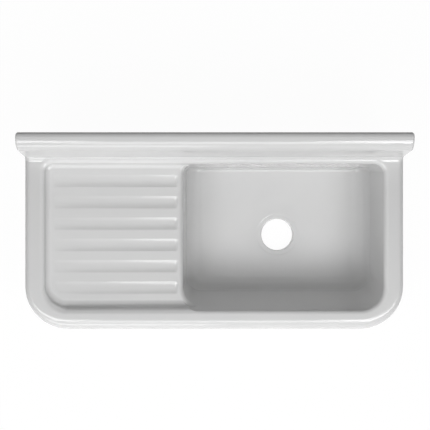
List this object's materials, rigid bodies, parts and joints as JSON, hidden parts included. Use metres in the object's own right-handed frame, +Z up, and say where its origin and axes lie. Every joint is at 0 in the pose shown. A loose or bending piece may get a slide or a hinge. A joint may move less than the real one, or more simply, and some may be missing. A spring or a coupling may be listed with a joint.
{
  "type": "kitchen sink with drainboard",
  "caption": "White glazed ceramic kitchen sink with a ribbed drainboard beside a deep rounded bowl, thick rolled rims and a low rounded backsplash.",
  "frame": {"origin": "centre of the footprint, on the surface the sink stands on", "axes": "+X to the bowl end, +Y back towards the wall, +Z up"},
  "size_m": [1, 0.51, 0.347],
  "materials": {
    "glaze": "gloss",
    "steel": "zinc-plated"
  },
  "bodies": {
    "root": {"sink_body": "glaze", "wall_hanger_left": "steel", "wall_hanger_right": "steel"}
  },
  "joints": []
}
